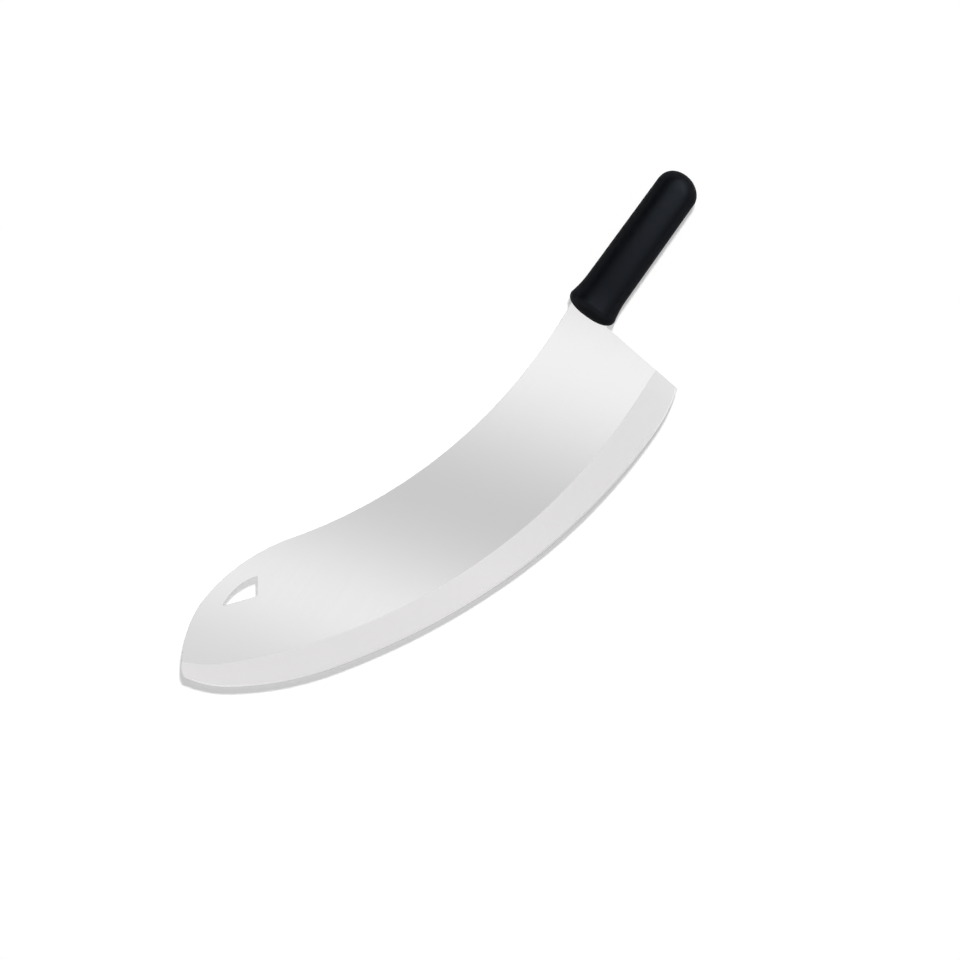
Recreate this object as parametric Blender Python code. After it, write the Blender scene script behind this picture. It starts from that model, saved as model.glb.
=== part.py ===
"""A mincing knife with one handle: a broad curved blade, a hard core pinned to its tang and a soft grip.

Metres, +Z up. The knife lies flat, with its blade level and its cutting edge towards -Y. X runs back
along the handle, and x = 0 is the rim round the handle's front until the knife is set over the origin.
"""

from collections import namedtuple
from math import atan2, cos, pi, radians, sin

import bmesh
import bpy
from mathutils import Vector

# Blade plate. The tip is placed from the handle's rim, and the nose's other points from the tip.
BLADE_THICKNESS = 0.0030
EDGE_THICKNESS = 0.0004
TIP_REACH = 0.4390
TIP_RISE = 0.0953
HUMP_BEHIND_TIP = 0.0681
HUMP_ABOVE_TIP = 0.0218
SADDLE_BEHIND_TIP = 0.1428
SADDLE_BELOW_TIP = 0.0062
SPINE_DIP = radians(6.4)

# Cutting edge, from the heel corner to the tip. Its middle bows out between the belly and the forebelly.
HEEL_FORWARD = 0.0140
HEEL_DEPTH = 0.0944
BELLY_BEFORE_HEEL = 0.0372
BELLY_BELOW_HEEL = 0.0064
MIDDLE_BOW = 0.0249
FOREBELLY_BEHIND_TIP = 0.0790
FOREBELLY_BELOW_TIP = 0.0974
SWEEP_BEHIND_TIP = 0.0165
SWEEP_BELOW_TIP = 0.0376
EDGE_DIP = radians(18.7)

# Ground bevel: its height up the heel and up the nose, and its width square to the edge between them.
GRIND_AT_HEEL = 0.0233
GRIND_AT_BELLY = 0.0275
GRIND_AT_MIDDLE = 0.0247
GRIND_AT_FOREBELLY = 0.0249
GRIND_AT_SWEEP = 0.0198
GRIND_AT_NOSE = 0.0122
GRIND_DIP = radians(4.4)

# Hanging hole: three corners, each placed behind the tip and above it, and a bowed side along the spine.
HOLE_REAR = (0.1020, -0.0020)
HOLE_LOW = (0.0885, -0.0113)
HOLE_FRONT = (0.0655, 0.0068)
HOLE_BOW = radians(23.0)
HOLE_CORNER_RADIUS = 0.0015

# Handle, a turned shape pressed oval.
RIM_RADIUS = 0.0215
NOSE_DEPTH = 0.0101
NOSE_POWER = 2.4
FLARE_LENGTH = 0.0200
GRIP_RADIUS = 0.0190
HANDLE_LENGTH = 0.1306
BUTT_DEPTH = 0.0160
BUTT_RADIUS = 0.0182
HANDLE_THICKNESS = 0.0280
GRIP_WALL = 0.0030

# Neck and tang, the part of the plate inside the handle, and the pins that hold it. The neck is
# narrower than the handle's rim by its two covers.
NECK_TOP_COVER = 0.0052
NECK_BOTTOM_COVER = 0.0030
NECK_PROUD = 0.0008
NECK_SEAT = 0.0050
TANG_WIDTH = 0.0220
TANG_CORNER_RADIUS = 0.0050
TANG_END_COVER = 0.0220
PIN_RADIUS = 0.0030
PIN_FROM_SHOULDER = 0.0260
PIN_FROM_TANG_END = 0.0220
PIN_RECESS = 0.0010
PIN_CHAMFER = 0.0005

# Gap kept between pieces that touch.
GAP = 0.0003

# How finely curves are stepped.
EDGE_STEPS = 96
NOSE_STEPS = 3
HOLE_STEPS = 8
PROFILE_STEPS = 10
FLARE_STEPS = 7
AROUND_HANDLE = 48
AROUND_PIN = 24
CORNER_STEPS = 4
SMOOTH_ANGLE = radians(40.0)
SAME_POINT = 0.000001
STRAIGHT = 0.000001

OVAL = HANDLE_THICKNESS / (2 * GRIP_RADIUS)
TIP = Vector((-TIP_REACH, TIP_RISE))
HEEL = Vector((-HEEL_FORWARD, -HEEL_DEPTH))
NECK_TOP = RIM_RADIUS - NECK_TOP_COVER
NECK_BOTTOM = RIM_RADIUS - NECK_BOTTOM_COVER
CORE_FRONT = NECK_SEAT + GAP
TANG_END = HANDLE_LENGTH - TANG_END_COVER
PIN_PLACES = {
    "front": NECK_SEAT + PIN_FROM_SHOULDER,
    "rear": TANG_END - PIN_FROM_TANG_END,
}

Arc = namedtuple("Arc", "start heading bend length")


class ArcChain:
    """A smooth outline of arcs, each of which leaves the last one along its tangent."""

    def __init__(self, start, heading, stops):
        self.arcs = []
        point = Vector(start)
        for stop in stops:
            chord = Vector(stop) - point
            swing = (atan2(chord.y, chord.x) - heading + pi) % (2 * pi) - pi
            length = chord.length
            if abs(swing) > STRAIGHT:
                length *= swing / sin(swing)
            self.arcs.append(Arc(point, heading, 2 * swing / length, length))
            point = Vector(stop)
            heading += 2 * swing
        self.length = sum(arc.length for arc in self.arcs)

    def at(self, distance):
        """Return the point this far along the outline, and the heading there."""
        place = 0
        while place < len(self.arcs) - 1 and distance > self.arcs[place].length:
            distance -= self.arcs[place].length
            place += 1
        arc = self.arcs[place]
        heading = arc.heading + arc.bend * distance
        if abs(arc.bend) < STRAIGHT:
            return arc.start + distance * Vector((cos(heading), sin(heading))), heading
        step = Vector((sin(heading) - sin(arc.heading), cos(arc.heading) - cos(heading))) / arc.bend
        return arc.start + step, heading

    def points(self, steps, start=0.0, end=None):
        """Return evenly spaced points between two distances along the outline."""
        end = self.length if end is None else end
        return [self.at(start + (end - start) * i / steps)[0] for i in range(steps + 1)]

    def inside(self, distance, width):
        """Return the point set off to the right of the outline by this width."""
        point, heading = self.at(distance)
        return point + width * Vector((sin(heading), -cos(heading)))


def clear_scene():
    for item in list(bpy.data.objects):
        bpy.data.objects.remove(item, do_unlink=True)


def make_material(name, colour, metallic, roughness):
    material = bpy.data.materials.new(name)
    material.use_nodes = True
    shader = material.node_tree.nodes["Principled BSDF"]
    shader.inputs["Base Color"].default_value = (*colour, 1.0)
    shader.inputs["Metallic"].default_value = metallic
    shader.inputs["Roughness"].default_value = roughness
    return material


def add_object(name, shape, knife, material=None, smooth=False, x=0.0):
    """Turn a bmesh into an object that is parented to the knife, this far along the handle."""
    bmesh.ops.recalc_face_normals(shape, faces=shape.faces)
    mesh = bpy.data.meshes.new(name)
    shape.to_mesh(mesh)
    shape.free()
    if material is not None:
        mesh.materials.append(material)
    if smooth:
        mesh.shade_smooth()
        mesh.set_sharp_from_angle(angle=SMOOTH_ANGLE)
    item = bpy.data.objects.new(name, mesh)
    bpy.context.collection.objects.link(item)
    item.parent = knife
    item.location.x = x
    return item


def add_cutter(name, shape, knife, x=0.0):
    cutter = add_object(name, shape, knife, x=x)
    cutter.hide_render = True
    cutter.display_type = "WIRE"
    return cutter


def cut(piece, cutter):
    boolean = piece.modifiers.new(cutter.name, "BOOLEAN")
    boolean.operation = "DIFFERENCE"
    boolean.object = cutter


def block(low, high):
    """Return a box between two corners."""
    shape = bmesh.new()
    bmesh.ops.create_cube(shape, size=1.0)
    low, high = Vector(low), Vector(high)
    bmesh.ops.scale(shape, vec=high - low, verts=shape.verts)
    bmesh.ops.translate(shape, vec=(low + high) / 2, verts=shape.verts)
    return shape


def upright_cylinder(radius, half_height):
    """Return a cylinder that stands across the blade, centred on the origin."""
    shape = bmesh.new()
    bmesh.ops.create_cone(
        shape, cap_ends=True, segments=AROUND_PIN, radius1=radius, radius2=radius, depth=2 * half_height
    )
    return shape


def nose_front(radius):
    """Return where the handle's rounded front stands at this distance from its axis."""
    return -NOSE_DEPTH * (1 - (radius / RIM_RADIUS) ** NOSE_POWER) ** (1 / NOSE_POWER)


def body_radius(x):
    """Return the grip's radius behind the rim: a hollow flare, then a slight taper to the butt."""
    butt_start = HANDLE_LENGTH - BUTT_DEPTH
    taper = GRIP_RADIUS + (BUTT_RADIUS - GRIP_RADIUS) * (x - FLARE_LENGTH) / (butt_start - FLARE_LENGTH)
    if x >= FLARE_LENGTH:
        return taper
    return GRIP_RADIUS + (RIM_RADIUS - GRIP_RADIUS) * (1 - x / FLARE_LENGTH) ** 2


def handle_profile(front=0.0, inset=0.0):
    """Return the handle's outline above its axis, from this front to the butt, drawn in by the inset."""
    profile = []
    for i in range(FLARE_STEPS + 1):
        x = front + (FLARE_LENGTH - front) * i / FLARE_STEPS
        profile.append(Vector((x, 0.0, body_radius(x) - inset)))
    for i in range(PROFILE_STEPS + 1):
        turn = pi / 2 * i / PROFILE_STEPS
        x = HANDLE_LENGTH - BUTT_DEPTH + (BUTT_DEPTH - inset) * sin(turn)
        profile.append(Vector((x, 0.0, (BUTT_RADIUS - inset) * cos(turn))))
    return profile


def nose_profile():
    """Return the handle's outline from the middle of its rounded front up to the rim."""
    profile = []
    for i in range(PROFILE_STEPS):
        radius = RIM_RADIUS * sin(pi / 2 * i / PROFILE_STEPS)
        profile.append(Vector((nose_front(radius), 0.0, radius)))
    return profile


def turned(profile):
    """Return the closed solid that a profile sweeps round the X axis, pressed to the handle's oval."""
    shape = bmesh.new()
    verts = [shape.verts.new(point) for point in profile]
    edges = [shape.edges.new(pair) for pair in zip(verts, verts[1:])]
    bmesh.ops.spin(
        shape, geom=verts + edges, cent=(0.0, 0.0, 0.0), axis=(1.0, 0.0, 0.0), dvec=(0.0, 0.0, 0.0),
        angle=2 * pi, steps=AROUND_HANDLE, use_merge=True,
    )
    bmesh.ops.remove_doubles(shape, verts=shape.verts, dist=SAME_POINT)
    bmesh.ops.scale(shape, vec=(1.0, 1.0, OVAL), verts=shape.verts)
    return shape


def blade_outlines():
    """Return the spine, the cutting edge and the line where the grind starts, each towards the tip."""
    neck = Vector((nose_front(NECK_TOP) - NECK_PROUD, NECK_TOP))
    saddle = TIP + Vector((SADDLE_BEHIND_TIP, -SADDLE_BELOW_TIP))
    hump = TIP + Vector((HUMP_BEHIND_TIP, HUMP_ABOVE_TIP))
    spine = ArcChain(neck, pi + SPINE_DIP, [saddle, hump, TIP])

    belly = HEEL - Vector((BELLY_BEFORE_HEEL, BELLY_BELOW_HEEL))
    forebelly = TIP + Vector((FOREBELLY_BEHIND_TIP, -FOREBELLY_BELOW_TIP))
    sweep = TIP + Vector((SWEEP_BEHIND_TIP, -SWEEP_BELOW_TIP))
    chord = (forebelly - belly).normalized()
    middle = (belly + forebelly) / 2 + MIDDLE_BOW * Vector((-chord.y, chord.x))
    edge = ArcChain(HEEL, pi + EDGE_DIP, [belly, middle, forebelly, sweep, TIP])

    heel_line = (heel_neck_corner() - HEEL).normalized()
    stops = []
    reached = 0.0
    for arc, width in zip(edge.arcs, (GRIND_AT_BELLY, GRIND_AT_MIDDLE, GRIND_AT_FOREBELLY, GRIND_AT_SWEEP)):
        reached += arc.length
        stops.append(edge.inside(reached, width))
    stops.append(spine.at(spine.length - GRIND_AT_NOSE)[0])
    grind = ArcChain(HEEL + heel_line * GRIND_AT_HEEL, pi + GRIND_DIP, stops)
    return spine, edge, grind


def heel_neck_corner():
    """Return where the heel line meets the lower side of the neck, just ahead of the handle."""
    return Vector((nose_front(NECK_BOTTOM) - NECK_PROUD, -NECK_BOTTOM))


def tang_outline():
    """Return the neck and tang, from the heel line round to the start of the spine."""
    half = TANG_WIDTH / 2
    outline = [heel_neck_corner(), Vector((NECK_SEAT, -NECK_BOTTOM)), Vector((NECK_SEAT, -half))]
    for side, first in ((-1, -pi / 2), (1, 0.0)):
        centre = Vector((TANG_END - TANG_CORNER_RADIUS, side * (half - TANG_CORNER_RADIUS)))
        for i in range(CORNER_STEPS + 1):
            turn = first + pi / 2 * i / CORNER_STEPS
            outline.append(centre + TANG_CORNER_RADIUS * Vector((cos(turn), sin(turn))))
    outline += [Vector((NECK_SEAT, half)), Vector((NECK_SEAT, NECK_TOP))]
    return outline


def blade_plate():
    """Return the blade: its upper side as one sheet, carried through to its mirror image below."""
    shape = bmesh.new()
    face_height = BLADE_THICKNESS / 2
    edge_height = EDGE_THICKNESS / 2
    spine, edge, grind = blade_outlines()
    flat_steps = EDGE_STEPS - NOSE_STEPS

    def raised(points, height):
        return [shape.verts.new((point.x, point.y, height)) for point in points]

    edge_row = raised(edge.points(EDGE_STEPS), edge_height)
    grind_row = raised(grind.points(flat_steps), face_height)
    spine_row = raised(spine.points(flat_steps, end=spine.length - GRIND_AT_NOSE)[:-1], face_height)
    nose = spine.points(NOSE_STEPS, start=spine.length - GRIND_AT_NOSE)[1:-1]
    for i, point in enumerate(nose, 1):
        height = face_height + (edge_height - face_height) * i / NOSE_STEPS
        grind_row += raised([point], height)

    for i in range(EDGE_STEPS - 1):
        shape.faces.new((edge_row[i], edge_row[i + 1], grind_row[i + 1], grind_row[i]))
    shape.faces.new((edge_row[-2], edge_row[-1], grind_row[-1]))
    for i in range(flat_steps - 1):
        shape.faces.new((grind_row[i], grind_row[i + 1], spine_row[i + 1], spine_row[i]))
    shape.faces.new((grind_row[flat_steps - 1], grind_row[flat_steps], spine_row[-1]))
    tang = raised(tang_outline(), face_height)
    shape.faces.new([grind_row[0]] + tang + [spine_row[0]])

    underside = bmesh.ops.extrude_face_region(shape, geom=shape.faces[:])["geom"]
    for item in underside:
        if isinstance(item, bmesh.types.BMVert):
            item.co.z = -item.co.z
    return shape


def hanging_hole():
    """Return a prism of the hole's outline, through the blade, with its corners rounded."""
    rear, low, front = (TIP + Vector(corner) for corner in (HOLE_REAR, HOLE_LOW, HOLE_FRONT))
    chord = rear - front
    bowed = ArcChain(front, atan2(chord.y, chord.x) + HOLE_BOW, [rear]).points(HOLE_STEPS)
    shape = bmesh.new()
    outline = [shape.verts.new((point.x, point.y, -BLADE_THICKNESS)) for point in [low] + bowed]
    floor = shape.faces.new(outline)
    grown = bmesh.ops.extrude_face_region(shape, geom=[floor])["geom"]
    top = [item for item in grown if isinstance(item, bmesh.types.BMVert)]
    bmesh.ops.translate(shape, vec=(0.0, 0.0, 2 * BLADE_THICKNESS), verts=top)
    corners = []
    for item in shape.edges:
        a, b = item.verts
        upright = abs(a.co.z - b.co.z) > BLADE_THICKNESS
        if upright and any((a.co.xy - corner).length < SAME_POINT for corner in (rear, low, front)):
            corners.append(item)
    bmesh.ops.bevel(
        shape, geom=corners, offset=HOLE_CORNER_RADIUS, offset_type="OFFSET", affect="EDGES",
        segments=CORNER_STEPS, profile=0.5, material=-1,
    )
    return shape


def make_blade(knife, steel):
    blade = add_object("blade", blade_plate(), knife, steel)
    cut(blade, add_cutter("hanging_hole_cutter", hanging_hole(), knife))
    for place, x in PIN_PLACES.items():
        hole = upright_cylinder(PIN_RADIUS + GAP, BLADE_THICKNESS)
        cut(blade, add_cutter(f"tang_hole_cutter_{place}", hole, knife, x))


def make_pins(knife, steel):
    """Drive two pins through the core and the tang, with their ends just under the core's surface."""
    for place, x in PIN_PLACES.items():
        half_length = (body_radius(x) - GRIP_WALL) * OVAL - GAP - PIN_RECESS
        shape = upright_cylinder(PIN_RADIUS, half_length)
        rims = [item for item in shape.edges if abs(item.verts[0].co.z - item.verts[1].co.z) < SAME_POINT]
        bmesh.ops.bevel(
            shape, geom=rims, offset=PIN_CHAMFER, affect="EDGES", segments=1, profile=0.5, material=-1
        )
        add_object(f"tang_pin_{place}", shape, knife, steel, smooth=True, x=x)


def make_core(knife, plastic):
    """Make the hard core: an oval bar inside the grip, slotted from its front for the tang."""
    inset = GRIP_WALL + GAP / OVAL
    profile = handle_profile(CORE_FRONT, inset)
    profile.insert(0, Vector((CORE_FRONT, 0.0, 0.0)))
    core = add_object("handle_core", turned(profile), knife, plastic, smooth=True)
    half_slot = TANG_WIDTH / 2 + GAP
    half_gap = BLADE_THICKNESS / 2 + GAP
    slot = block((0.0, -half_slot, -half_gap), (TANG_END + GAP, half_slot, half_gap))
    cut(core, add_cutter("tang_slot_cutter", slot, knife))
    for place, x in PIN_PLACES.items():
        hole = upright_cylinder(PIN_RADIUS + GAP, HANDLE_THICKNESS / 2)
        cut(core, add_cutter(f"pin_hole_cutter_{place}", hole, knife, x))


def make_grip(knife, rubber):
    """Make the soft grip: it closes round the core and the neck, and is open only where the blade leaves."""
    outside = turned(nose_profile() + handle_profile())
    grip = add_object("handle_grip", outside, knife, rubber, smooth=True)
    profile = handle_profile(CORE_FRONT - GAP, GRIP_WALL)
    profile.insert(0, Vector((CORE_FRONT - GAP, 0.0, 0.0)))
    cut(grip, add_cutter("core_cavity_cutter", turned(profile), knife))
    half_gap = BLADE_THICKNESS / 2 + GAP
    low = (-2 * NOSE_DEPTH, -NECK_BOTTOM - GAP, -half_gap)
    high = (CORE_FRONT, NECK_TOP + GAP, half_gap)
    cut(grip, add_cutter("neck_slot_cutter", block(low, high), knife))


def set_over_origin(knife):
    """Move the knife so that the origin lies under its middle, at the height that it rests on."""
    pieces = [item for item in knife.children if item.display_type != "WIRE"]
    corners = [item.location + vert.co for item in pieces for vert in item.data.vertices]
    low = [min(corner[axis] for corner in corners) for axis in range(3)]
    high = [max(corner[axis] for corner in corners) for axis in range(3)]
    knife.location = (-(low[0] + high[0]) / 2, -(low[1] + high[1]) / 2, -low[2])


def main():
    clear_scene()
    knife = bpy.data.objects.new("knife", None)
    bpy.context.collection.objects.link(knife)
    satin_steel = make_material("satin_steel", (0.80, 0.80, 0.80), 1.0, 0.30)
    pin_steel = make_material("pin_steel", (0.62, 0.62, 0.60), 1.0, 0.40)
    hard_plastic = make_material("hard_plastic", (0.030, 0.030, 0.032), 0.0, 0.45)
    soft_grip = make_material("soft_grip", (0.012, 0.014, 0.017), 0.0, 0.60)
    make_blade(knife, satin_steel)
    make_pins(knife, pin_steel)
    make_core(knife, hard_plastic)
    make_grip(knife, soft_grip)
    set_over_origin(knife)


main()
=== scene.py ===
"""The looks of the mincing knife: satin steel with a ground bevel, a soft black grip, and the light."""

from math import cos, pi, radians, sin, tan

import bmesh
import bpy
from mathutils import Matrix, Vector


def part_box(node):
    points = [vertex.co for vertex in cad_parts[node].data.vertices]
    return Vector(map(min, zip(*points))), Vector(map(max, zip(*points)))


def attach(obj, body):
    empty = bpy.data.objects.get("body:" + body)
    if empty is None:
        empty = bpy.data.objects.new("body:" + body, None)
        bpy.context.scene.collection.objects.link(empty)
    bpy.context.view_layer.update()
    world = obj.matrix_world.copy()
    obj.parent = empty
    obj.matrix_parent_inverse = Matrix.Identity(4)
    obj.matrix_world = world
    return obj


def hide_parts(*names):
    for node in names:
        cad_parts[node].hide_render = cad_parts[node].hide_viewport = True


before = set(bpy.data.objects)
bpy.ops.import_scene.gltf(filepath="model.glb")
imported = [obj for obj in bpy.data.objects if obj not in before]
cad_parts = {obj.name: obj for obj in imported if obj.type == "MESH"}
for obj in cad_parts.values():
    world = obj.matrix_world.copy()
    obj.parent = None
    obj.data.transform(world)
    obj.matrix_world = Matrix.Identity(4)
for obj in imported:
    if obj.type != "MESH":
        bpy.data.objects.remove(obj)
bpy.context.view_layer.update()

BLADE_LOW, BLADE_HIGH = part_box("blade")
GRIP_LOW, GRIP_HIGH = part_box("handle_grip")
CORE_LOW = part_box("handle_core")[0]
PLATE_MIDDLE = (BLADE_LOW.z + BLADE_HIGH.z) / 2
PLATE_HALF = (BLADE_HIGH.z - BLADE_LOW.z) / 2
MM = 0.001

# Blade: the hone's facets, the rounded tip and the middle of the grind's curve.
EDGE_LAND = 0.4 * MM
HONE_WIDTH = 1.6 * MM
KEEN_WIDTH = 0.15 * MM
KEEN_DROP = 0.08 * MM
EDGE_DROP = 0.18 * MM
DEBURR = 0.15 * MM
TIP_ROUND = 1.8 * MM
WELD = 0.001 * MM
COPLANAR = 0.0001
GRIND_CENTRE = (-0.005, 0.36, 0.0)
# The span along X over which the bevel's colour goes from painted light at the tip to painted shade at
# the heel.
PAINTED_SHADE_SPAN = (-0.07, 0.13)
HONED = 2
GROUND = 1

# How nearly a face of the blade looks straight up or down.
WALL = 0.1
SLOPED = 0.5
BROAD = 0.9

# Grip, a turned shape pressed oval.
NOSE_DEPTH = 10.1 * MM
NOSE_POWER = 2.4
NOSE_HEIGHT_POWER = 1.7
FLARE_LENGTH = 20.0 * MM
GRIP_RADIUS = 19.0 * MM
BUTT_DEPTH = 16.0 * MM
BUTT_RADIUS = 18.2 * MM
BUTT_HEIGHT_POWER = 2.8
BUTT_SKEW = 0.06
BUTT_FULLNESS = 3.0
GRIP_WALL = 3.0 * MM
GAP = 0.3 * MM
SPINE_STEP = 5.2 * MM
HEEL_STEP = 3.0 * MM
RIM_EASE = 0.25 * MM
RIM_RADIUS = (GRIP_HIGH.y - GRIP_LOW.y) / 2
OVAL = (GRIP_HIGH.z - GRIP_LOW.z) / (GRIP_HIGH.y - GRIP_LOW.y)
GRIP_AXIS = (GRIP_LOW + GRIP_HIGH) / 2
RIM_X = GRIP_LOW.x + NOSE_DEPTH
BUTT_MARGIN = 0.06 * MM
HANDLE_LENGTH = GRIP_HIGH.x - RIM_X - BUTT_MARGIN
AROUND = 96
NEARLY_ALL = 0.9999

# The lamp: where it stands, seen from the knife, how wide it looks and how light it makes the floor.
SUN = (6.02, 2.22, 15.84)
SUN_HEIGHT = radians(67.9)
SUN_WIDTH = radians(6.5)
SUN_LIGHT = 0.90
FLOOR_WIDTH = 12.0
FLOOR_GLOW = 0.46
FLOOR_WHITE = 0.56

# The cloth over the knife: how far along it each band lies and how light it is.
CLOTH_HEIGHT = 0.306
CLOTH_LOW = (-0.50, -0.56)
CLOTH_HIGH = (0.85, 0.42)
ALONG_BLADE = (0.955, 0.298, 0.0)
ALONG_GRIP = (1.0, 0.07, 0.0)
BLADE_END = (0.150, 0.175)
BLADE_LIGHT = 1.5
BLADE_BANDS = (
    (-0.40, 0.75), (-0.32, 0.75), (-0.255, 0.54), (-0.20, 0.61), (-0.155, 0.77), (-0.115, 0.66),
    (-0.08, 0.53), (-0.04, 0.47), (0.0, 0.54), (0.04, 0.66), (0.075, 0.76), (0.105, 0.79), (0.155, 0.74),
)
GRIP_LIGHT = 3.1
GRIP_BANDS = (
    (0.160, 0.21), (0.185, 0.15), (0.215, 0.08), (0.240, 0.44),
    (0.285, 0.84), (0.36, 1.0), (0.50, 1.0), (0.70, 0.5),
)
GRIP_MIDDLE = -0.06
GRIP_REACH = (0.173, 0.263)

# The room past the cloth, as gloss sees it: towards -Y, towards +Y, past both ends and overhead.
ROOM_NEAR = 0.085
ROOM_FAR = 0.10
ROOM_ENDS = 0.70
ROOM_OVER = 0.64
ROOM_CLIMB = (0.60, 0.95)
ROOM_FILL = 0.08

# Camera straight above, turned so that the handle points up and to the right.
VIEW_WIDTH = 0.780
VIEW_CENTRE = (-0.01390, -0.01615)
VIEW_TURN = radians(-54.2293)
VIEW_HEIGHT = 2.0


def node_adder(owner):
    """Empty the node tree of a material or world and return a function that adds a node to it."""
    owner.use_nodes = True
    tree = owner.node_tree
    tree.nodes.clear()

    def add(kind, links=None, **settings):
        node = tree.nodes.new(kind)
        for key, value in settings.items():
            setattr(node, key, value)
        for socket, value in (links or {}).items():
            target = node.inputs[socket]
            if isinstance(value, bpy.types.NodeSocket):
                tree.links.new(value, target)
            else:
                target.default_value = value
        return node

    return add


def new_material(name):
    """Return a new material and a function that adds a node to it."""
    material = bpy.data.materials.new(name)
    return material, node_adder(material)


def finish_material(material, add, surface):
    """Send the surface to the material's output and return the material."""
    add("ShaderNodeOutputMaterial", {"Surface": surface})
    return material


def satin_sheet():
    """The blade's flats: sheet steel brushed along its length."""
    material, add = new_material("satin_sheet")
    place = add("ShaderNodeTexCoord").outputs["Object"]
    streaks = add("ShaderNodeMapping", {"Vector": place, "Scale": (9.0, 2600.0, 2600.0)})
    grain = add("ShaderNodeTexNoise", {"Vector": streaks.outputs[0], "Scale": 1.0, "Detail": 4.0})
    rough = add("ShaderNodeMapRange", {"Value": grain.outputs[0], "To Min": 0.20, "To Max": 0.30})
    bump = add("ShaderNodeBump", {"Height": grain.outputs[0], "Strength": 0.06, "Distance": 0.00005})
    across = add("ShaderNodeCombineXYZ", {"Y": 1.0})
    shader = add("ShaderNodeBsdfPrincipled", {
        "Base Color": (0.85, 0.846, 0.848, 1.0), "Metallic": 1.0, "Roughness": rough.outputs[0],
        "Anisotropic": 0.5, "Normal": bump.outputs[0], "Tangent": across.outputs[0],
    })
    return finish_material(material, add, shader.outputs[0])


def ground_steel(name, roughness, tip_painted_light, heel_painted_shade):
    """Steel ground square to the curved edge: the lines run out from the middle of its curve.

    Its colour is painted: lighter near the tip and darker at the heel, a painted light and a painted
    shade.
    """
    material, add = new_material(name)
    place = add("ShaderNodeTexCoord").outputs["Object"]
    out = add("ShaderNodeVectorMath", {0: place, 1: GRIND_CENTRE}, operation="SUBTRACT")
    split = add("ShaderNodeSeparateXYZ", {0: out.outputs[0]})
    flat = add("ShaderNodeCombineXYZ", {"X": split.outputs["X"], "Y": split.outputs["Y"]})
    turn = add("ShaderNodeMath", {0: split.outputs["Y"], 1: split.outputs["X"]}, operation="ARCTAN2")
    reach = add("ShaderNodeVectorMath", {0: flat.outputs[0]}, operation="LENGTH")
    polar = add("ShaderNodeCombineXYZ", {"X": turn.outputs[0], "Y": reach.outputs["Value"]})
    streaks = add("ShaderNodeMapping", {"Vector": polar.outputs[0], "Scale": (1100.0, 14.0, 1.0)})
    grain = add("ShaderNodeTexNoise", {"Vector": streaks.outputs[0], "Scale": 1.0, "Detail": 4.0})
    rough = add("ShaderNodeMapRange", {
        "Value": grain.outputs[0], "To Min": roughness - 0.05, "To Max": roughness + 0.05,
    })
    bump = add("ShaderNodeBump", {"Height": grain.outputs[0], "Strength": 0.1, "Distance": 0.00005})
    tangent = add("ShaderNodeVectorMath", {
        0: flat.outputs[0], 1: (0.0, 0.0, 1.0),
    }, operation="CROSS_PRODUCT")
    # Painted shade: the steel's colour darkens from the tip towards the heel.
    painted_shade_share = add("ShaderNodeMapRange", {
        "Value": split.outputs["X"], "From Min": PAINTED_SHADE_SPAN[0], "From Max": PAINTED_SHADE_SPAN[1],
    })
    colour = add("ShaderNodeMix", {
        "Factor": painted_shade_share.outputs[0], "A": tip_painted_light, "B": heel_painted_shade,
    }, data_type="RGBA")
    shader = add("ShaderNodeBsdfPrincipled", {
        "Base Color": colour.outputs["Result"], "Metallic": 1.0, "Roughness": rough.outputs[0],
        "Anisotropic": 0.8, "Normal": bump.outputs[0], "Tangent": tangent.outputs[0],
    })
    return finish_material(material, add, shader.outputs[0])


def soft_black():
    """The grip: soft moulded black with a fine grain, matt where it turns away."""
    material, add = new_material("soft_black")
    place = add("ShaderNodeTexCoord").outputs["Object"]
    grain = add("ShaderNodeTexNoise", {"Vector": place, "Scale": 2200.0, "Detail": 3.0})
    patches = add("ShaderNodeTexNoise", {"Vector": place, "Scale": 170.0, "Detail": 3.0})
    colour = add("ShaderNodeMix", {
        "Factor": patches.outputs[0],
        "A": (0.0012, 0.0015, 0.0022, 1.0), "B": (0.0020, 0.0025, 0.0035, 1.0),
    }, data_type="RGBA")
    facing = add("ShaderNodeLayerWeight")
    matt = add("ShaderNodeMapRange", {
        "Value": facing.outputs["Facing"],
        "From Min": 0.10, "From Max": 0.40, "To Min": 0.0, "To Max": 0.34,
    }, interpolation_type="SMOOTHSTEP")
    rough = add("ShaderNodeMapRange", {
        "Value": patches.outputs[0], "From Min": 0.3, "From Max": 0.7, "To Min": 0.36, "To Max": 0.48,
    })
    rough = add("ShaderNodeMath", {0: rough.outputs[0], 1: matt.outputs[0]})
    bump = add("ShaderNodeBump", {"Height": grain.outputs[0], "Strength": 0.6, "Distance": 0.0001})
    shader = add("ShaderNodeBsdfPrincipled", {
        "Base Color": colour.outputs["Result"], "Roughness": rough.outputs[0], "Normal": bump.outputs[0],
        "Specular IOR Level": 0.18, "Specular Tint": (0.76, 0.85, 1.0, 1.0),
    })
    return finish_material(material, add, shader.outputs[0])


def moulded_plastic():
    """The hidden core: hard plastic as it comes from the mould."""
    material, add = new_material("moulded_plastic")
    place = add("ShaderNodeTexCoord").outputs["Object"]
    grain = add("ShaderNodeTexNoise", {"Vector": place, "Scale": 900.0, "Detail": 2.0})
    bump = add("ShaderNodeBump", {"Height": grain.outputs[0], "Strength": 0.2, "Distance": 0.0001})
    rough = add("ShaderNodeMapRange", {"Value": grain.outputs[0], "To Min": 0.38, "To Max": 0.5})
    shader = add("ShaderNodeBsdfPrincipled", {
        "Base Color": (0.030, 0.030, 0.032, 1.0), "Roughness": rough.outputs[0],
        "Normal": bump.outputs[0],
    })
    return finish_material(material, add, shader.outputs[0])


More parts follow.
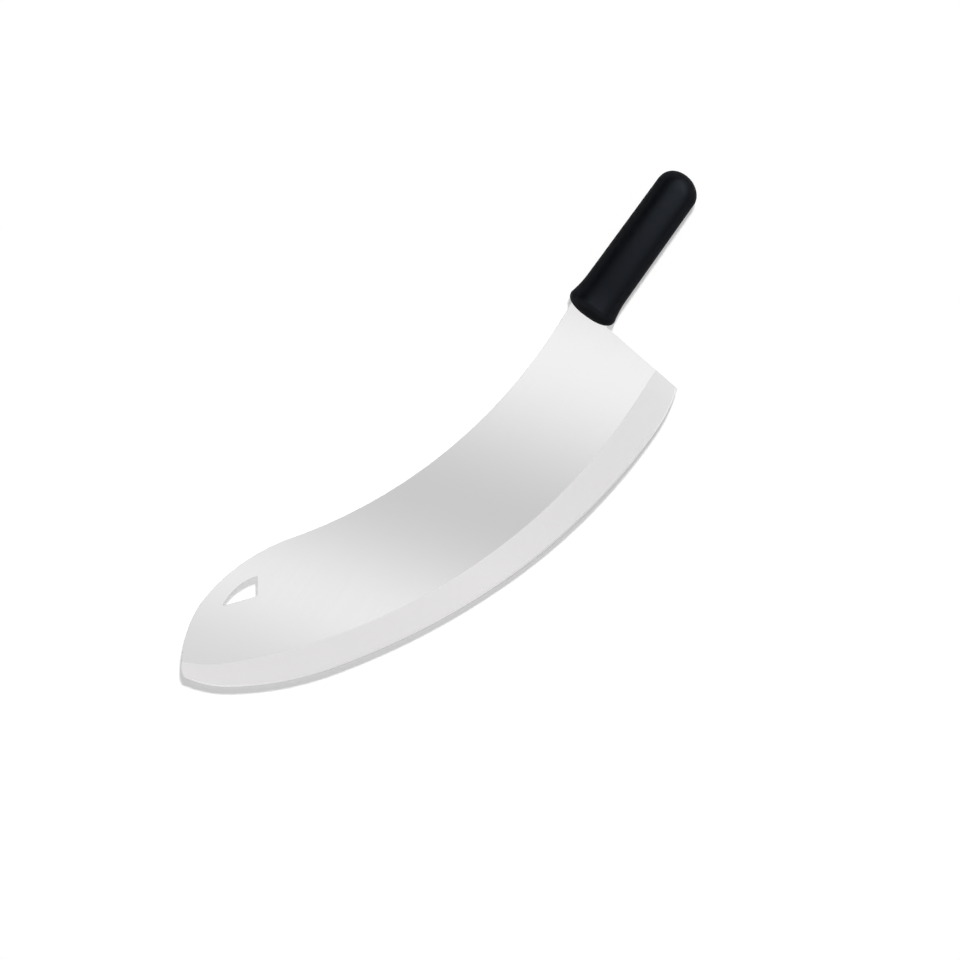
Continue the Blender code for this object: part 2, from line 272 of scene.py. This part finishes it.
def turned_steel():
    """The hidden pins: steel with fine rings round them from the lathe."""
    material, add = new_material("turned_steel")
    place = add("ShaderNodeTexCoord").outputs["Object"]
    rings = add("ShaderNodeMapping", {"Vector": place, "Scale": (60.0, 60.0, 5000.0)})
    grain = add("ShaderNodeTexNoise", {"Vector": rings.outputs[0], "Scale": 1.0, "Detail": 2.0})
    bump = add("ShaderNodeBump", {"Height": grain.outputs[0], "Strength": 0.2, "Distance": 0.00005})
    rough = add("ShaderNodeMapRange", {"Value": grain.outputs[0], "To Min": 0.32, "To Max": 0.45})
    shader = add("ShaderNodeBsdfPrincipled", {
        "Base Color": (0.62, 0.62, 0.60, 1.0), "Metallic": 1.0, "Roughness": rough.outputs[0],
        "Normal": bump.outputs[0],
    })
    return finish_material(material, add, shader.outputs[0])


def link_mesh(name, shape):
    """Turn a bmesh into an object at the origin."""
    mesh = bpy.data.meshes.new(name)
    shape.to_mesh(mesh)
    shape.free()
    item = bpy.data.objects.new(name, mesh)
    bpy.context.collection.objects.link(item)
    return item


def merged_copy(node):
    """Return a copy of a CAD node's mesh with its loose triangles joined."""
    shape = bmesh.new()
    shape.from_mesh(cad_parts[node].data)
    bmesh.ops.remove_doubles(shape, verts=shape.verts, dist=WELD)
    return shape


def off_middle(vert):
    """Return how far a corner of the blade stands from the plate's middle plane."""
    return abs(vert.co.z - PLATE_MIDDLE)


def lower(vert, drop):
    """Bring a corner of the blade nearer the plate's middle plane."""
    vert.co.z += drop if vert.co.z < PLATE_MIDDLE else -drop


def meets(item, least):
    """Tell whether an edge borders a face that looks up or down at least this squarely."""
    return any(abs(face.normal.z) > least for face in item.link_faces)


def meets_wall(item):
    """Tell whether an edge borders one of the blade's upright faces."""
    return any(abs(face.normal.z) < WALL for face in item.link_faces)


def round_tip(shape):
    """Round the tip off where the edge meets the nose; return the place of its sharp corner."""
    upright = min(shape.edges, key=lambda item: sum(vert.co.x for vert in item.verts))
    tip = upright.verts[0].co.xy.copy()
    for cuts in (1, 3):
        near = {}
        for item in shape.edges:
            gaps = [(vert.co.xy - tip).length for vert in item.verts]
            if min(gaps) < WELD < max(gaps) and meets_wall(item) and meets(item, BROAD):
                share = TIP_ROUND / item.calc_length()
                near[item] = share if gaps[0] < WELD else 1 - share
        if cuts == 1:
            bmesh.ops.subdivide_edges(shape, edges=list(near), cuts=1, edge_percents=near)
        else:
            bmesh.ops.subdivide_edges(shape, edges=list(near), cuts=cuts)
    corner = [vert for vert in shape.verts if (vert.co.xy - tip).length < TIP_ROUND + WELD]
    ends = [vert.co.xy - tip for vert in corner if (vert.co.xy - tip).length > TIP_ROUND - WELD]
    along_edge = min(ends, key=lambda side: side.y).normalized()
    along_nose = max(ends, key=lambda side: side.y).normalized()
    half = along_edge.angle(along_nose) / 2
    inward = (along_edge + along_nose).normalized()
    centre = tip + inward * TIP_ROUND / cos(half)
    radius = TIP_ROUND * tan(half)
    across = Vector((-inward.y, inward.x))
    for vert in corner:
        out = vert.co.xy - tip
        swing = (pi / 2 - half) * out.length / TIP_ROUND
        side = 1 if out.dot(across) > 0 else -1
        place = centre - radius * (inward * cos(swing) - side * across * sin(swing))
        vert.co.x, vert.co.y = place
    return tip


def ring_cut(shape, keen, width):
    """Cut a ring this far in from the edge's corners; return each new corner's share of the hone."""
    crossing = {}
    for item in shape.edges:
        inner = [tuple(vert.co) in keen for vert in item.verts]
        length = item.calc_length()
        if inner[0] != inner[1] and length > 1.25 * width and meets(item, SLOPED):
            crossing[item] = width / length if inner[0] else 1 - width / length
    old = {tuple(vert.co) for vert in shape.verts}
    bmesh.ops.subdivide_edges(shape, edges=list(crossing), cuts=1, edge_percents=crossing)
    ring = {}
    for vert in shape.verts:
        if tuple(vert.co) not in old:
            for item in vert.link_edges:
                ring[tuple(vert.co)] = keen.get(tuple(item.other_vert(vert).co), 0.0)
                if ring[tuple(vert.co)] > 0.0:
                    break
    return ring


def hone(shape):
    """Grind two narrow facets along the edge, the outer one steep; they run out round the tip."""
    tip = round_tip(shape)
    land = EDGE_LAND / 2
    corner = [vert for vert in shape.verts if (vert.co.xy - tip).length < TIP_ROUND + WELD]
    top = max(off_middle(vert) for vert in corner)
    keen = {tuple(vert.co): 1.0 for vert in shape.verts if off_middle(vert) < land + WELD}
    for vert in corner:
        share = (top - off_middle(vert)) / (top - land)
        if share > 0.01:
            keen[tuple(vert.co)] = share
    broad = ring_cut(shape, keen, HONE_WIDTH)
    narrow = ring_cut(shape, keen, KEEN_WIDTH)
    honed = {*keen, *broad, *narrow}
    for face in shape.faces:
        if abs(face.normal.z) > SLOPED and all(tuple(vert.co) in honed for vert in face.verts):
            face.material_index = HONED
    for vert in shape.verts:
        place = tuple(vert.co)
        if place in keen:
            lower(vert, EDGE_DROP * keen[place])
        elif place in narrow:
            lower(vert, KEEN_DROP * narrow[place])
    shape.normal_update()


def make_blade():
    """Hone the edge and take the burr off a copy of the plate."""
    shape = merged_copy("blade")
    bmesh.ops.dissolve_limit(shape, angle_limit=COPLANAR, verts=shape.verts, edges=shape.edges)
    hone(shape)

    burrs = []
    for item in shape.edges:
        if all(off_middle(vert) > PLATE_HALF - WELD for vert in item.verts):
            if meets_wall(item) and meets(item, BROAD):
                burrs.append(item)
    bmesh.ops.bevel(
        shape, geom=burrs, offset=DEBURR, affect="EDGES", segments=1, profile=0.5, material=-1
    )

    for face in shape.faces:
        face.smooth = True
        if face.material_index != HONED and 0.99 < abs(face.normal.z) < 0.99999:
            face.material_index = GROUND
    for item in shape.edges:
        limit = radians(1.5) if meets(item, BROAD) else radians(25.0)
        item.smooth = item.calc_face_angle(0.0) < limit
    blade = link_mesh("honed_blade", shape)
    # The hone's steel is painted a shade darker than the flats: painted shade.
    honed_painted_shade = (0.80, 0.79, 0.795, 1.0)
    for material in (
        satin_sheet(),
        ground_steel("ground_bevel", 0.42, (0.940, 0.925, 0.930, 1.0), (0.725, 0.715, 0.720, 1.0)),
        ground_steel("honed_edge", 0.24, honed_painted_shade, honed_painted_shade),
    ):
        blade.data.materials.append(material)
    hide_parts("blade")
    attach(blade, "root")


def body_radius(x):
    """Return the grip's radius behind the rim: a hollow flare, then a slight taper to the butt."""
    butt_start = HANDLE_LENGTH - BUTT_DEPTH
    if x >= FLARE_LENGTH:
        taper = (BUTT_RADIUS - GRIP_RADIUS) / (butt_start - FLARE_LENGTH)
        return GRIP_RADIUS + taper * (x - FLARE_LENGTH)
    return GRIP_RADIUS + (RIM_RADIUS - GRIP_RADIUS) * (1 - x / FLARE_LENGTH) ** 2


def body_profile(front, inset, flare_steps=16, body_steps=12, butt_steps=20):
    """Return the outline above the axis from this front to the butt, drawn in by the inset."""
    butt_start = HANDLE_LENGTH - BUTT_DEPTH
    profile = []
    for i in range(flare_steps):
        x = front + (FLARE_LENGTH - front) * i / flare_steps
        profile.append((x, body_radius(x) - inset))
    for i in range(body_steps):
        x = FLARE_LENGTH + (butt_start - FLARE_LENGTH) * i / body_steps
        profile.append((x, body_radius(x) - inset))
    for i in range(butt_steps + 1):
        turn = pi / 2 * i / butt_steps
        x = butt_start + (BUTT_DEPTH - inset) * sin(turn)
        profile.append((x, (BUTT_RADIUS - inset) * cos(turn)))
    return profile


def nose_profile(steps=24):
    """Return the outline from the middle of the rounded front up to the rim."""
    profile = []
    for i in range(steps):
        radius = RIM_RADIUS * sin(pi / 2 * i / steps)
        reach = NOSE_DEPTH * (1 - (radius / RIM_RADIUS) ** NOSE_POWER) ** (1 / NOSE_POWER)
        profile.append((-reach, radius))
    return profile


def rounded(share, power):
    """Return how much of its height a rounded end keeps this far out."""
    return max(0.0, 1 - share ** power) ** (1 / power)


def settle_ends(shape):
    """Give both rounded ends a height curve of their own; set the butt askew and its +Y side fuller."""
    butt_start = RIM_X + HANDLE_LENGTH - BUTT_DEPTH
    for vert in shape.verts:
        behind = (vert.co.x - butt_start) / BUTT_DEPTH
        ahead = (RIM_X - vert.co.x) / NOSE_DEPTH
        height = 1.0
        if 0.0 < behind < NEARLY_ALL:
            height = rounded(behind, BUTT_HEIGHT_POWER) / rounded(behind, 2.0)
            side = vert.co.y - GRIP_AXIS.y
            fuller = BUTT_FULLNESS * max(0.0, side) ** 2 * min(1.0, 2 * behind)
            vert.co.x += BUTT_SKEW * behind * side + fuller
        elif 0.0 < ahead < NEARLY_ALL:
            height = rounded(ahead, NOSE_HEIGHT_POWER) / rounded(ahead, NOSE_POWER)
        vert.co.z = GRIP_AXIS.z + (vert.co.z - GRIP_AXIS.z) * height


def turned(profile):
    """Return the closed solid that a profile sweeps round the grip's axis, pressed oval."""
    shape = bmesh.new()
    verts = [shape.verts.new((x, 0.0, radius)) for x, radius in profile]
    edges = [shape.edges.new(pair) for pair in zip(verts, verts[1:])]
    bmesh.ops.spin(
        shape, geom=verts + edges, cent=(0.0, 0.0, 0.0), axis=(1.0, 0.0, 0.0), angle=2 * pi,
        steps=AROUND, use_merge=True,
    )
    bmesh.ops.remove_doubles(shape, verts=shape.verts, dist=WELD)
    bmesh.ops.recalc_face_normals(shape, faces=shape.faces)
    bmesh.ops.scale(shape, vec=(1.0, 1.0, OVAL), verts=shape.verts)
    bmesh.ops.translate(shape, vec=(RIM_X, GRIP_AXIS.y, GRIP_AXIS.z), verts=shape.verts)
    return shape


def cut(piece, tool):
    """Cut the tool's shape out of the piece for good."""
    boolean = piece.modifiers.new("cut", "BOOLEAN")
    boolean.operation = "DIFFERENCE"
    boolean.solver = "EXACT"
    boolean.object = tool
    bpy.context.view_layer.update()
    solved = piece.evaluated_get(bpy.context.evaluated_depsgraph_get())
    result = bpy.data.meshes.new_from_object(solved)
    piece.modifiers.clear()
    piece.data = result
    bpy.data.objects.remove(tool)


def make_grip():
    """The moulded grip, hollow for the core and slotted for the blade's neck."""
    outside = turned(nose_profile() + body_profile(0.0, 0.0))
    ridge = [
        item for item in outside.edges if all(abs(vert.co.x - RIM_X) < WELD for vert in item.verts)
    ]
    bmesh.ops.bevel(
        outside, geom=ridge, offset=RIM_EASE, affect="EDGES", segments=2, profile=0.5, material=-1
    )
    settle_ends(outside)
    grip = link_mesh("soft_grip", outside)
    front = CORE_LOW.x - RIM_X - GAP
    hollow = [(front, 0.0)] + body_profile(front, GRIP_WALL)
    cut(grip, link_mesh("hollow", turned(hollow)))
    slot = bmesh.new()
    bmesh.ops.create_cube(slot, size=1.0)
    spine_side = GRIP_AXIS.y + RIM_RADIUS - SPINE_STEP + GAP
    heel_side = GRIP_AXIS.y - RIM_RADIUS + HEEL_STEP - GAP
    low = Vector((GRIP_LOW.x - NOSE_DEPTH, heel_side, PLATE_MIDDLE - PLATE_HALF - GAP))
    high = Vector((CORE_LOW.x, spine_side, PLATE_MIDDLE + PLATE_HALF + GAP))
    bmesh.ops.scale(slot, vec=high - low, verts=slot.verts)
    bmesh.ops.translate(slot, vec=(low + high) / 2, verts=slot.verts)
    cut(grip, link_mesh("neck_slot", slot))
    grip.data.materials.clear()
    grip.data.materials.append(soft_black())
    for face in grip.data.polygons:
        face.material_index = 0
    grip.data.shade_smooth()
    grip.data.set_sharp_from_angle(angle=radians(30.0))
    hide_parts("handle_grip")
    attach(grip, "root")


def dress_hidden_pieces():
    """Give the core and the pins inside the grip their own finishes."""
    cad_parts["handle_core"].data.materials[0] = moulded_plastic()
    steel = turned_steel()
    for node in ("tang_pin_front", "tang_pin_rear"):
        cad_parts[node].data.materials[0] = steel


def plane(name, width, height, centre):
    """Return a level sheet of this size round this point."""
    shape = bmesh.new()
    bmesh.ops.create_grid(shape, x_segments=1, y_segments=1, size=0.5)
    bmesh.ops.scale(shape, vec=(width, height, 1.0), verts=shape.verts)
    bmesh.ops.translate(shape, vec=centre, verts=shape.verts)
    return link_mesh(name, shape)


def make_floor():
    """A white floor: a glow that the eye and gloss see, and a matt white that takes the lamp's shadow."""
    floor = plane("floor", FLOOR_WIDTH, FLOOR_WIDTH, (0.0, 0.0, 0.0))
    material, add = new_material("white_floor")
    path = add("ShaderNodeLightPath")
    seen = add("ShaderNodeMath", {
        0: path.outputs["Is Camera Ray"], 1: path.outputs["Is Glossy Ray"],
    }, operation="MAXIMUM")
    seen = add("ShaderNodeMath", {
        0: seen.outputs[0], 1: path.outputs["Is Transmission Ray"],
    }, operation="MAXIMUM")
    glow = add("ShaderNodeMath", {0: seen.outputs[0], 1: FLOOR_GLOW}, operation="MULTIPLY")
    white = add("ShaderNodeEmission", {"Strength": glow.outputs[0]})
    matt = add("ShaderNodeBsdfDiffuse", {"Color": (FLOOR_WHITE, FLOOR_WHITE, FLOOR_WHITE, 1.0)})
    both = add("ShaderNodeAddShader", {0: white.outputs[0], 1: matt.outputs[0]})
    floor.data.materials.append(finish_material(material, add, both.outputs[0]))


def band_ramp(add, place, direction, bands):
    """Return the way along this direction, and a tone that runs through these bands on the way."""
    low, high = bands[0][0], bands[-1][0]
    along = add("ShaderNodeVectorMath", {0: place, 1: direction}, operation="DOT_PRODUCT")
    share = add("ShaderNodeMapRange", {
        "Value": along.outputs["Value"], "From Min": low, "From Max": high,
    })
    ramp = add("ShaderNodeValToRGB", {"Fac": share.outputs[0]})
    elements = ramp.color_ramp.elements
    while len(elements) < len(bands):
        elements.new(0.5)
    for element, (where, tone) in zip(elements, bands):
        element.position = (where - low) / (high - low)
        element.color = (tone, tone, tone, 1.0)
    return along.outputs["Value"], ramp.outputs[0]


def make_scrim():
    """A lit cloth over the knife, which only gloss sees: light and dark bands lie across it.

    Past the blade, where the grip alone sees it, it is light in the middle only.
    """
    width, height = CLOTH_HIGH[0] - CLOTH_LOW[0], CLOTH_HIGH[1] - CLOTH_LOW[1]
    middle = ((CLOTH_HIGH[0] + CLOTH_LOW[0]) / 2, (CLOTH_HIGH[1] + CLOTH_LOW[1]) / 2)
    scrim = plane("scrim", width, height, (*middle, CLOTH_HEIGHT))
    material, add = new_material("scrim_light")
    path = add("ShaderNodeLightPath")
    place = add("ShaderNodeTexCoord").outputs["Object"]
    along, blade_tone = band_ramp(add, place, ALONG_BLADE, BLADE_BANDS)
    blade_light = add("ShaderNodeEmission", {"Color": blade_tone, "Strength": BLADE_LIGHT})
    _, grip_tone = band_ramp(add, place, ALONG_GRIP, GRIP_BANDS)
    across = add("ShaderNodeSeparateXYZ", {0: place}).outputs["Y"]
    off = add("ShaderNodeMath", {0: across, 1: GRIP_MIDDLE}, operation="SUBTRACT")
    off = add("ShaderNodeMath", {0: off.outputs[0]}, operation="ABSOLUTE")
    lit = add("ShaderNodeMapRange", {
        "Value": off.outputs[0], "From Min": GRIP_REACH[0], "From Max": GRIP_REACH[1],
        "To Min": GRIP_LIGHT, "To Max": 0.0,
    }, interpolation_type="SMOOTHSTEP")
    grip_light = add("ShaderNodeEmission", {"Color": grip_tone, "Strength": lit.outputs[0]})
    past = add("ShaderNodeMapRange", {
        "Value": along, "From Min": BLADE_END[0], "From Max": BLADE_END[1],
    })
    light = add("ShaderNodeMixShader", {
        0: past.outputs[0], 1: blade_light.outputs[0], 2: grip_light.outputs[0],
    })
    clear = add("ShaderNodeBsdfTransparent")
    mix = add("ShaderNodeMixShader", {
        0: path.outputs["Is Glossy Ray"], 1: clear.outputs[0], 2: light.outputs[0],
    })
    scrim.data.materials.append(finish_material(material, add, mix.outputs[0]))


def make_lamp():
    """One broad lamp high above the knife, which gloss doesn't see."""
    lamp = bpy.data.lights.new("key", "SUN")
    lamp.energy = SUN_LIGHT * pi / sin(SUN_HEIGHT)
    lamp.angle = SUN_WIDTH
    key = bpy.data.objects.new("key", lamp)
    key.rotation_euler = Vector(SUN).to_track_quat("Z", "Y").to_euler()
    key.visible_glossy = False
    bpy.context.collection.objects.link(key)


def make_room():
    """The world: white to the eye, a faint fill for matt things, and a toned room for gloss."""
    world = bpy.data.worlds.new("room")
    bpy.context.scene.world = world
    add = node_adder(world)
    path = add("ShaderNodeLightPath")
    direction = add("ShaderNodeTexCoord").outputs["Generated"]
    split = add("ShaderNodeSeparateXYZ", {0: direction})
    sides = add("ShaderNodeMapRange", {
        "Value": split.outputs["Y"], "From Min": -1.0, "To Min": ROOM_NEAR, "To Max": ROOM_FAR,
    })
    endways = add("ShaderNodeMath", {0: split.outputs["X"], 1: split.outputs["X"]}, operation="MULTIPLY")
    low = add("ShaderNodeMix", {"Factor": endways.outputs[0], "A": sides.outputs[0], "B": ROOM_ENDS})
    room = add("ShaderNodeMapRange", {
        "Value": split.outputs["Z"], "From Min": ROOM_CLIMB[0], "From Max": ROOM_CLIMB[1],
        "To Min": low.outputs["Result"], "To Max": ROOM_OVER,
    }, interpolation_type="SMOOTHSTEP")
    tone = add("ShaderNodeMix", {
        "Factor": path.outputs["Is Glossy Ray"], "A": ROOM_FILL, "B": room.outputs[0],
    })
    seen = add("ShaderNodeMix", {
        "Factor": path.outputs["Is Camera Ray"], "A": tone.outputs["Result"], "B": 1.0,
    })
    sky = add("ShaderNodeBackground", {"Color": (1.0, 1.0, 1.0, 1.0), "Strength": seen.outputs["Result"]})
    add("ShaderNodeOutputWorld", {"Surface": sky.outputs[0]})


def make_camera():
    """A camera straight above with a parallel view, as the photo looks."""
    view = bpy.data.cameras.new("camera")
    view.type = "ORTHO"
    view.ortho_scale = VIEW_WIDTH
    camera = bpy.data.objects.new("camera", view)
    camera.location = (*VIEW_CENTRE, VIEW_HEIGHT)
    camera.rotation_euler = (0.0, 0.0, VIEW_TURN)
    bpy.context.collection.objects.link(camera)
    bpy.context.scene.camera = camera


make_blade()
make_grip()
dress_hidden_pieces()
make_floor()
make_scrim()
make_lamp()
make_room()
make_camera()
bpy.context.scene.view_settings.view_transform = "Standard"
